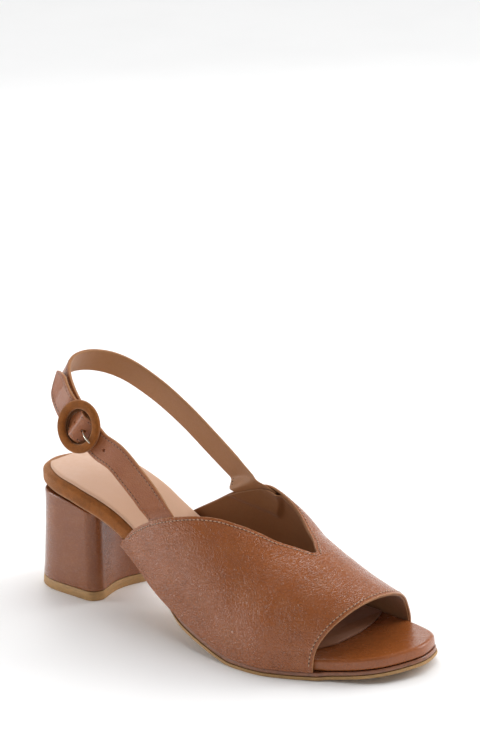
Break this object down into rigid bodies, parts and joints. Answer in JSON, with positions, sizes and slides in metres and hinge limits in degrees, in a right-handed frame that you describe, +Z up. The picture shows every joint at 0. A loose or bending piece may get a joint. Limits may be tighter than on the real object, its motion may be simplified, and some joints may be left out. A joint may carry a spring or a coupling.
{
  "type": "slingback sandal",
  "caption": "Open-toe slingback sandal with a V-cut vamp, a sling strap on a round covered buckle and a covered block heel.",
  "frame": {"origin": "middle of the heel's tread, on the floor", "axes": "+X along the sole to the toe, +Y to the medial side, +Z up"},
  "size_m": [0.2346, 0.0836, 0.1218],
  "materials": {
    "upper_leather": "glossy, finely crinkled",
    "strap_leather": "semi-gloss, finely crinkled",
    "heel_leather": "glossy, finely crinkled",
    "footbed_leather": "glossy",
    "suede": "matt suede",
    "sock_leather": "matt",
    "tread_rubber": "matt",
    "sole_edge": "satin",
    "pale_metal": "polished, pale gold"
  },
  "bodies": {
    "root": {"outsole": "tread_rubber", "midsole": "sole_edge", "heel_block": "heel_leather", "heel_tip": "tread_rubber", "footbed_rear": "suede", "footbed_front": "footbed_leather", "insole_sock": "sock_leather", "upper": "upper_leather", "strap_lateral": "strap_leather", "strap_medial": "strap_leather", "buckle_ring": "suede", "buckle_bar": "pale_metal", "buckle_prong": "pale_metal"}
  },
  "joints": []
}
